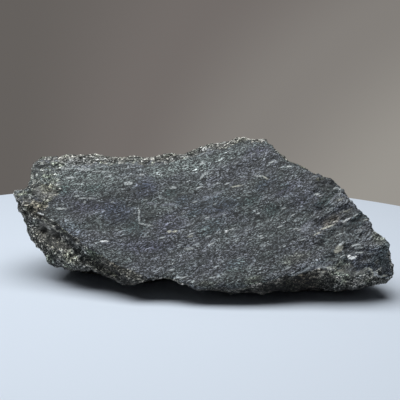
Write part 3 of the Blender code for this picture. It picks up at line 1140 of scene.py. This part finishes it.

# %% [markdown]
# Patches
#
# Wider patches tint whatever lies under them. A tint is a factor for red, green and blue: under 1 darkens,
# over 1 bleaches, and unequal numbers colour. On the fresh face they are bundles with more of one
# amphibole, blue-violet or teal, bleached rims, and a little straw and iron, with painted shade under a
# ledge line, in a pocket and in a pit at the right end. On the rind they are beige clay, ash, brown iron
# and moss, with painted shade under the tip, on the lower wall, in the scoop and under the lip. The rows
# read like those of the marks, without the strength.

# %% Patches of colour
TEAL = (0.82, 0.97, 0.95, 1.0)
DARK_TEAL = (0.56, 0.68, 0.67, 1.0)
DARK_BLUE = (0.54, 0.59, 0.69, 1.0)
SLATE_SHADE = (0.79, 0.81, 0.94, 1.0)
VIOLET = (0.93, 0.905, 1.04, 1.0)
SMOKE = (0.58, 0.59, 0.57, 1.0)
# A tint for painted shade in a pocket and a pit.
RECESS_SHADE_TINT = (0.42, 0.44, 0.46, 1.0)
BLEACHED = (1.55, 1.57, 1.52, 1.0)
PALE_BLUE = (1.28, 1.36, 1.42, 1.0)
STRAW = (1.30, 1.26, 1.02, 1.0)
IRON = (1.00, 0.82, 0.60, 1.0)
FACE_PATCHES = [
    ("slate band, middle", 9.5, 13.0, 9.0, 3.4, -20, SLATE_SHADE),
    ("slate shade, right", 41.0, 4.5, 5.0, 3.4, -10, VIOLET),
    ("slate shade, left", -20.0, 20.0, 7.0, 3.6, -30, SLATE_SHADE),
    ("slate shade, upper middle", -9.0, 25.0, 4.0, 3.4, 0, SLATE_SHADE),
    ("teal, upper middle", -1.5, 21.0, 2.4, 1.4, -5, DARK_TEAL),
    ("blue, upper middle", 1.6, 17.4, 2.6, 1.4, 5, DARK_BLUE),
    ("dark blade, middle", 14.6, 10.3, 5.4, 1.7, 4, DARK_BLUE),
    ("dark blade, left of it", 3.8, 11.3, 2.8, 1.2, 0, DARK_TEAL),
    ("dark blade, right of it", 23.5, 9.8, 4.0, 1.4, 4, DARK_TEAL),
    ("teal, right", 29.2, 4.2, 2.4, 2.2, 0, DARK_TEAL),
    ("blue, upper right", 28.7, 13.5, 2.6, 1.8, 10, DARK_BLUE),
    ("teal dot, upper right", 35.3, 10.9, 2.0, 1.3, 0, DARK_TEAL),
    ("dark teal, right end", 46.2, 1.5, 2.6, 1.7, 10, DARK_TEAL),
    ("dark olive, shoulder", 50.0, 9.0, 5.0, 5.0, 0, SMOKE),
    ("dark slab, right end", 55.0, -7.8, 4.6, 2.4, 20, DARK_TEAL),
    ("teal, left", -36.0, 34.0, 2.6, 1.8, -15, TEAL),
    ("teal, upper left", -26.4, 31.2, 3.2, 1.6, -10, DARK_TEAL),
    ("blue and teal, left middle", -16.5, 12.0, 3.6, 2.6, -15, DARK_TEAL),
    ("smoke by the vein", -10.0, 14.6, 3.0, 1.8, -20, SMOKE),
    ("teal, below middle", 7.9, 4.8, 4.5, 2.4, 5, TEAL),
    ("teal, low", 12.0, -11.0, 3.6, 2.4, 0, TEAL),
    ("violet, upper left middle", -8.5, 27.5, 3.0, 2.6, 0, VIOLET),
    ("dark in the violet", -9.5, 26.0, 2.0, 1.0, 0, DARK_BLUE),
    ("violet, left middle", -21.0, 19.2, 4.4, 4.0, -20, VIOLET),
    ("violet, left", -30.0, 25.0, 5.0, 2.4, -20, VIOLET),
    ("violet, middle", -5.0, 9.6, 4.2, 3.6, 0, VIOLET),
    ("violet, low left", -16.5, 5.6, 6.0, 2.6, -10, VIOLET),
    ("violet, low middle", -9.0, 2.5, 4.0, 2.4, 0, VIOLET),
    ("blue, far right", 36.8, 9.4, 4.4, 2.0, 8, VIOLET),
    ("violet, peak", 31.0, 27.0, 3.6, 2.2, 0, VIOLET),
    ("violet, under the peak", 32.6, 14.5, 2.4, 2.2, 20, VIOLET),
    ("bleached, top", 8.0, 29.0, 14.0, 4.0, -8, BLEACHED),
    ("bleached, upper left", -31.0, 38.0, 13.0, 6.5, -14, BLEACHED),
    ("bleached rim, left", -18.0, 41.0, 13.0, 2.4, -16, BLEACHED),
    ("bleached rim, right", 10.0, 35.5, 15.0, 2.4, -6, BLEACHED),
    ("pale streak, middle", 12.8, 15.3, 4.2, 0.9, 7, PALE_BLUE),
    ("lobe at the left edge", -36.8, 18.6, 4.2, 2.4, -40, PALE_BLUE),
    ("straw, low right", 31.0, -14.4, 4.6, 1.8, -6, STRAW),
    ("straw, low", 16.0, -17.8, 3.0, 1.4, -10, STRAW),
    ("straw, lip", 1.5, -14.6, 3.6, 1.4, -20, STRAW),
    ("iron over the ledge line", 46.4, -5.5, 3.4, 1.3, 3, IRON),
    ("smoke over the ledge line", 52.5, -5.2, 2.8, 0.9, 0, SMOKE),
    # Painted shade: below the ledge line, and in the pocket by the white crystal.
    ("painted shade under the ledge line", 50.0, -9.0, 4.0, 1.3, 4, SMOKE),
    ("painted shade in the pocket by the white crystal", 45.9, -19.0, 1.7, 1.5, -10, RECESS_SHADE_TINT),
    ("dark around the white crystal", 48.5, -20.2, 2.6, 1.4, -10, DARK_BLUE),
    ("pale, right end", 53.0, -14.4, 3.4, 1.8, -10, BLEACHED),
    ("pale rim, right end", 58.8, -15.8, 2.6, 3.6, -10, BLEACHED),
    ("clay rim, right end", 58.8, -15.8, 2.2, 3.0, -10, STRAW),
    ("dark blot, right end", 53.5, -23.9, 2.0, 0.7, -10, DARK_BLUE),
    # Painted shade in the pit.
    ("painted shade in the pit, right end", 57.9, -24.7, 1.0, 0.6, 0, RECESS_SHADE_TINT),
    ("pale ridge, lower right", 36.6, -17.9, 4.0, 1.2, 0, BLEACHED),
    ("pale band over the ridge", 45.0, -21.6, 2.2, 1.5, -30, BLEACHED),
    ("straw band over the ridge", 45.0, -21.6, 2.2, 1.5, -30, STRAW),
    ("pale edge, low", 28.5, -19.4, 3.4, 0.9, 5, BLEACHED),
    ("yellow clay by the notch", -40.8, 36.1, 3.0, 2.0, -20, STRAW),
    ("pale nose, right end", 56.6, -21.6, 3.2, 2.2, -20, PALE_BLUE),
]
CLAY = (1.62, 1.57, 1.45, 1.0)
YELLOW_CLAY = (1.14, 1.14, 0.96, 1.0)
ASH = (0.92, 0.98, 1.04, 1.0)
PALE_ASH = (1.42, 1.42, 1.38, 1.0)
BROWN = (0.74, 0.69, 0.60, 1.0)
MOSS = (0.66, 0.78, 0.62, 1.0)
# Tints for painted shade: under the tip, on the lower wall, in the scoop and under the lip.
PAINTED_SHADE_TINT = (0.46, 0.44, 0.40, 1.0)
DEEP_PAINTED_SHADE_TINT = (0.30, 0.28, 0.26, 1.0)
OLIVE_GREY = (0.74, 0.74, 0.66, 1.0)
RIND_PATCHES = [
    ("yellow clay", -41.4, 36.6, 2.6, 1.8, -20, YELLOW_CLAY),
    ("ash knob", -46.4, 35.4, 3.0, 2.2, 0, ASH),
    ("pale knobs at the corner", -41.0, 42.0, 6.0, 6.0, 0, PALE_ASH),
    ("ash over the corner", -40.0, 43.0, 9.0, 6.0, -14, ASH),
    ("brown tip", -46.4, 31.0, 4.2, 2.2, -20, BROWN),
    # Painted shade under the left tip.
    ("painted shade under the tip", -45.6, 27.2, 3.4, 1.2, -30, PAINTED_SHADE_TINT),
    ("clay, wall top", -47.2, 22.6, 4.4, 3.2, -40, CLAY),
    ("clay, wall middle", -43.4, 16.6, 4.6, 3.0, -40, CLAY),
    ("clay, wall low", -40.2, 11.4, 3.2, 2.2, -30, YELLOW_CLAY),
    ("moss, wall", -48.2, 16.0, 2.6, 2.4, 0, MOSS),
    ("olive under the edge", -31.0, 8.2, 3.0, 1.6, -30, MOSS),
    # Painted shade on the lower wall, under the overhang.
    ("painted shade, lower wall", -29.0, 3.0, 6.0, 2.6, -35, PAINTED_SHADE_TINT),
    ("painted shade, toward the lip", -22.5, -3.4, 6.5, 3.0, -35, PAINTED_SHADE_TINT),
    ("brown scoop", 34.0, -22.2, 7.0, 2.2, -12, BROWN),
    # Painted shade in the scoop and under the lip, where the stone overhangs the table.
    ("painted shade in the scoop", 30.0, -21.3, 7.0, 1.7, -7, DEEP_PAINTED_SHADE_TINT),
    ("painted shade under the lip", 21.0, -20.4, 7.5, 1.3, -5, DEEP_PAINTED_SHADE_TINT),
    ("pale toe", 50.0, -25.6, 9.0, 1.8, -13, PALE_ASH),
    ("pale toe, left", 42.5, -23.6, 4.0, 1.3, -13, PALE_ASH),
    ("pale nose", 56.6, -21.6, 3.2, 2.2, -20, PALE_ASH),
    ("grey edge, upper right", 46.0, 12.0, 14.0, 9.0, -50, OLIVE_GREY),
]
print("patches:", len(FACE_PATCHES) + len(RIND_PATCHES))

# %% [markdown]
# Putting tables of marks on a colour
#
# Both functions walk down a table and lay one group after another over the colour. Marks cover it with a
# mineral, but not everywhere: darker crystals stay visible between, and no mark is one even tone. Patches
# multiply the colour by a tint and have a much softer edge.

# %% Lay marks and patches
MARK_DEPTH = 14.0
MARK_RAGGED = dict(size=(0.9, 0.5, 0.9), amount=0.75)
MARK_EDGE = 0.30
MARK_COVERS = dict(start=0.20, end=0.48, low=0.58, high=1.0)
MARK_TONES = dict(start=0.2, end=0.9, low=0.62, high=1.35)
PATCH_RAGGED = dict(size=(2.6, 1.3, 1.3), amount=3.0)
PATCH_EDGE = 0.55


def lay(tree, place, softness, row):
    run, across, half_length, half_width, turn = row
    return use_group(
        tree,
        mark,
        Place=place,
        Centre=(run, bent(run, across), face_place),
        Half_Size=(half_length, half_width, MARK_DEPTH),
        Turn=math.radians(-turn),
        Softness=softness,
    )["Mask"]


def lay_marks(tree, colour, place, fine_tone):
    uneven = ragged(tree, place, **MARK_RAGGED)
    covered = between(tree, fine_tone, **MARK_COVERS)
    uneven_tone = between(tree, fine_tone, **MARK_TONES)
    for _, *row, strength, mineral in MARKS:
        share = product(tree, lay(tree, uneven, MARK_EDGE, row), covered, strength)
        colour = blend(tree, share, colour, toned(tree, mineral[:3], uneven_tone))
    return colour


def lay_patches(tree, colour, place, patches):
    uneven = ragged(tree, place, **PATCH_RAGGED)
    for _, *row, tint in patches:
        colour = blend(tree, lay(tree, uneven, PATCH_EDGE, row), colour, tint, "MULTIPLY")
    return colour


print("marks reach into the rock, mm:", MARK_DEPTH)

# %% [markdown]
# Colour of the fresh face
#
# The base is a grey that drifts between blue-violet and green over a centimetre or two. Dark lenses, pale
# blades and the patches come next. Then the salt makes every crystal lighter or darker, with soft streaks
# and swells of tone. Last are the rare silver flecks. The colours are linear values, measured against the
# pale table in the same light.

# %% Fresh colour
BLUE_GREY = (0.069, 0.072, 0.081, 1.0)
GREEN_GREY = (0.065, 0.074, 0.073, 1.0)
DRIFT = dict(size=(15.0, 8.0, 8.0), start=0.40, end=0.60)
DARK_LENS = (0.024, 0.029, 0.032, 1.0)
DARK_LENSES = dict(Size=(8.0, 2.2, 2.2), Share=0.35, Reach=0.42, Ragged=0.14)
DARK_LENSES_SHOW = 0.50
PALE_BLADE = (0.180, 0.192, 0.194, 1.0)
BROAD_BLADES = dict(Size=(7.5, 2.1, 2.1), Share=0.40, Reach=0.42, Ragged=0.16)
BROAD_BLADES_SHOW = 0.35
SMALL_BLADES = dict(Size=(4.4, 1.15, 1.15), Share=0.50, Reach=0.40, Ragged=0.14)
FLECKS = dict(Size=(5.5, 1.2, 1.2), Share=0.50, Reach=0.20, Ragged=0.03)
FACE_SALT = dict(Fine_Power=3.2, Wide_Power=0.45)
STREAKS = dict(size=(3.6, 0.8, 0.8), start=0.34, end=0.66, low=0.72, high=1.28, detail=2.0)
SWELLS = dict(size=(11.0, 4.5, 4.5), start=0.36, end=0.64, low=0.81, high=1.19, detail=2.0)


def scatter(tree, colour, place, kind, mineral, shows=None):
    """Blades of one kind over the colour. Without a value for shows, each shows by its own random tone."""
    each = use_group(tree, blades, Place=place, **kind)
    share = sums(tree, "MULTIPLY", each["Mask"], each["Tone"] if shows is None else shows)
    return blend(tree, share, colour, mineral), each["Mask"]


def fresh_colour(tree, place):
    colour = blend(tree, clouds(tree, place, **DRIFT), GREEN_GREY, BLUE_GREY)
    colour, _ = scatter(tree, colour, place, DARK_LENSES, DARK_LENS, DARK_LENSES_SHOW)
    colour, _ = scatter(tree, colour, place, BROAD_BLADES, PALE_BLADE, BROAD_BLADES_SHOW)
    colour, pale = scatter(tree, colour, place, SMALL_BLADES, PALE_BLADE)
    colour = lay_patches(tree, colour, place, FACE_PATCHES)
    grain = use_group(tree, salt, Place=place, **FACE_SALT)
    streak = clouds(tree, place, **STREAKS)
    swell = clouds(tree, place, **SWELLS)
    colour = toned(tree, colour, product(tree, grain["Factor"], streak, swell))
    colour, shine = scatter(tree, colour, place, FLECKS, SILVER)
    return colour, grain, pale, shine


print("fresh colour ready, sizes of blades, mm:", DARK_LENSES["Size"], SMALL_BLADES["Size"])

# %% [markdown]
# Colour of the rind
#
# The rind is the same rock after years of rain: the iron in it has gone brown, pale feldspar grains have
# come out beige, and the pits hold dark green and black. A colour ramp gives each crystal one of these by
# its random tone, so a few grains are nearly black, most are brown and some are beige. Blotches a few
# millimetres wide push whole groups of grains up or down the same ramp.
#
# Broad tints lie over that: grey and moss everywhere, and stains of iron, soot and clay on the sides that
# lie far behind the face, where weather has worked longest. The raised attribute adds painted shade: grains
# that lie lower than their neighbours are darkened towards black, as shade falls in the pits.

# %% Rind colour
RIND_BLACK = (0.012, 0.013, 0.011, 1.0)
RIND_STEPS = (
    (0.12, RIND_BLACK),
    (0.32, (0.060, 0.059, 0.050, 1.0)),
    (0.50, (0.152, 0.146, 0.129, 1.0)),
    (0.68, (0.280, 0.269, 0.240, 1.0)),
    (0.86, (0.510, 0.487, 0.442, 1.0)),
)
RIND_CRYSTALS = dict(Size=(0.95, 0.75, 0.75), Fine_Share=0.45)
BLOTCHES = dict(size=(2.6, 2.0, 2.0), detail=2.0)
BLOTCHES_PUSH = 1.3
RIND_GREY = (0.92, 0.96, 1.02, 1.0)
RIND_MOSS = (0.84, 0.90, 0.78, 1.0)
RIND_TINTS = (
    (dict(size=(12.0, 7.0, 7.0), start=0.45, end=0.62), RIND_GREY),
    (dict(size=(6.0, 4.5, 4.5), start=0.54, end=0.68), RIND_MOSS),
)
IRON_STAIN = (1.12, 0.98, 0.81, 1.0)
SOOT_STAIN = (0.56, 0.58, 0.58, 1.0)
CLAY_STAIN = (1.34, 1.30, 1.20, 1.0)
FAR_BEHIND = dict(start=12.0, end=2.0)
FAR_STAINS = (
    (dict(size=(19.0, 9.0, 12.0), start=0.50, end=0.62), IRON_STAIN),
    (dict(size=(13.0, 7.0, 9.0), start=0.47, end=0.36), SOOT_STAIN),
    (dict(size=(26.0, 11.0, 15.0), start=0.50, end=0.40), CLAY_STAIN),
)
RIND_SALT = dict(Fine_Size=(0.45, 0.30, 0.30), Fine_Power=2.3, Wide_Power=0.2)
# Painted shade in the pits: how low a point must lie, and how far towards black it goes.
PAINTED_PIT_SHADE = dict(start=0.50, end=0.14)
PAINTED_PIT_SHADE_STRENGTH = 0.80


def tinted(tree, colour, place, tints, where=1.0):
    """Multiplies the colour by each tint in its own cloudy shapes."""
    for shapes, tint in tints:
        share = product(tree, clouds(tree, place, **shapes), where)
        colour = blend(tree, share, colour, tint, "MULTIPLY")
    return colour


def rind_colour(tree, place, raised):
    grain = use_group(tree, crystals, Place=place, **RIND_CRYSTALS)
    blotch = sums(tree, "SUBTRACT", cloud(tree, place, **BLOTCHES), 0.5)
    tone = sums(tree, "MULTIPLY_ADD", blotch, BLOTCHES_PUSH, grain["Tone"])
    colour = tinted(tree, colour_ramp(tree, tone, RIND_STEPS), place, RIND_TINTS)
    out_of_face = add_node(tree, "SeparateXYZ", place).outputs["Z"]
    behind = between(tree, out_of_face, **FAR_BEHIND)
    colour = tinted(tree, colour, place, FAR_STAINS, behind)
    colour = lay_patches(tree, colour, place, RIND_PATCHES)
    crumbs = use_group(tree, salt, Place=place, **RIND_SALT)
    colour = toned(tree, colour, crumbs["Factor"])
    # Painted shade: grains that lie low are darkened towards black.
    low = between(tree, raised, **PAINTED_PIT_SHADE)
    colour = blend(tree, sums(tree, "MULTIPLY", low, PAINTED_PIT_SHADE_STRENGTH), colour, RIND_BLACK)
    return colour, sums(tree, "ADD", grain["Height"], crumbs["Height"])


print("rind colour ready, steps from black to beige:", len(RIND_STEPS))

# %% [markdown]
# The stone material
#
# One Principled shader serves both finishes. The fresh mask, roughened by noise, blends the two colours and
# the two roughnesses, and the single marks lie over both. Edges are paler than the rest, partly as wear and
# partly as painted highlight, and the hollows and the underside get painted shade. Blades of the fresh face
# shine a little, silver flecks more, and the rind is dull. The bump carries only what is finer than the
# skin's points: single crystals.

# %% Stone material
# Paler edges are partly wear and partly painted highlight.
EDGE_WEAR_AND_HIGHLIGHT = dict(start=0.60, end=1.00, low=1.0, high=1.45)
# Darker hollows are painted shade.
HOLLOW_PAINTED_SHADE = dict(start=0.42, end=0.05, low=1.0, high=0.50)
# The darker underside is painted shade.
UNDERSIDE_PAINTED_SHADE = dict(start=0.0, end=1.0, low=1.0, high=0.50)
BORDER_NOISE = (2.2, 1.2, 1.2)
BORDER_PATCHY = 2.4
FRESH_GAIN = 1.8
BORDER = dict(start=0.50, end=1.20)
FACE_ROUGHNESS = dict(start=0.0, end=1.0, low=0.62, high=0.50)
FLECKS_SMOOTHER = 0.18
RIND_ROUGHNESS = 0.85
FACE_BUMP = 0.5
BUMP_STRENGTH = 0.8
BUMP_HEIGHT = 0.18 * MM


def attribute(tree, name, output="Fac"):
    return add_node(tree, "Attribute", attribute_name=name).outputs[output]


def wear_and_painted_shade(tree, colour):
    """Pales the edges, partly wear and partly painted highlight; paints shade into hollows and underside.
    """
    wear_and_shade_share = attribute(tree, "wear_and_shade")
    # Paler edges: partly wear, partly painted highlight; darker hollows: painted shade.
    edge = between(tree, wear_and_shade_share, **EDGE_WEAR_AND_HIGHLIGHT)
    hollow_shade = between(tree, wear_and_shade_share, **HOLLOW_PAINTED_SHADE)
    # Painted shade on the underside.
    shade = between(tree, attribute(tree, "underside_shade"), **UNDERSIDE_PAINTED_SHADE)
    return toned(tree, colour, product(tree, edge, hollow_shade, shade))


def fresh_share(tree, place):
    """The fresh mask with a border that is patchy, not soft."""
    centred = sums(tree, "SUBTRACT", cloud(tree, place, BORDER_NOISE), 0.5)
    patchy = sums(tree, "MULTIPLY", centred, BORDER_PATCHY)
    return between(tree, sums(tree, "MULTIPLY_ADD", attribute(tree, "fresh"), FRESH_GAIN, patchy), **BORDER)


def roughness(tree, share, pale, shine):
    face = between(tree, pale, **FACE_ROUGHNESS)
    face = sums(tree, "MULTIPLY_ADD", shine, -FLECKS_SMOOTHER, face)
    return sums(tree, "MULTIPLY_ADD", share, sums(tree, "SUBTRACT", face, RIND_ROUGHNESS), RIND_ROUGHNESS)


def crystal_bump(tree, share, face_grain, rind_grain):
    relief = sums(tree, "MULTIPLY", rind_grain, sums(tree, "SUBTRACT", 1.0, share))
    relief = sums(tree, "MULTIPLY_ADD", face_grain, sums(tree, "MULTIPLY", share, FACE_BUMP), relief)
    bump = add_node(tree, "Bump")
    feed(tree, bump.inputs["Strength"], BUMP_STRENGTH)
    feed(tree, bump.inputs["Distance"], BUMP_HEIGHT)
    feed(tree, bump.inputs["Height"], relief)
    return bump.outputs["Normal"]


def make_stone_finish():
    finish = bpy.data.materials.new("nuummite")
    finish.use_nodes = True
    tree = finish.node_tree
    place = attribute(tree, "rock_place", "Vector")
    face, grain, pale, shine = fresh_colour(tree, place)
    rind, rind_grain = rind_colour(tree, place, attribute(tree, "raised"))
    share = fresh_share(tree, place)
    colour = lay_marks(tree, blend(tree, share, rind, face), place, grain["Fine Tone"])
    shader = tree.nodes["Principled BSDF"].inputs
    feed(tree, shader["Base Color"], wear_and_painted_shade(tree, colour))
    feed(tree, shader["Roughness"], roughness(tree, share, pale, shine))
    feed(tree, shader["Normal"], crystal_bump(tree, share, grain["Height"], rind_grain))
    return finish


stone_finish = make_stone_finish()
print("nuummite finish:", len(stone_finish.node_tree.nodes), "nodes")

# %% [markdown]
# Dress the solid
#
# The skin becomes an object that stands for the solid and rides with it. The solid stays in the model for
# collisions and is hidden. The skin is shaded smooth, because its points now carry every shape.

# %% Finished stone
def dress_stone(mesh, material):
    mesh.materials.clear()
    mesh.materials.append(material)
    mesh.shade_smooth()
    stone = bpy.data.objects.new("stone_skin", mesh)
    bpy.context.collection.objects.link(stone)
    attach(stone, "root")
    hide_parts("stone")
    return stone


stone = dress_stone(skin, stone_finish)
triangles = sum(len(polygon.vertices) - 2 for polygon in skin.polygons)
print("stone skin:", triangles, "triangles")
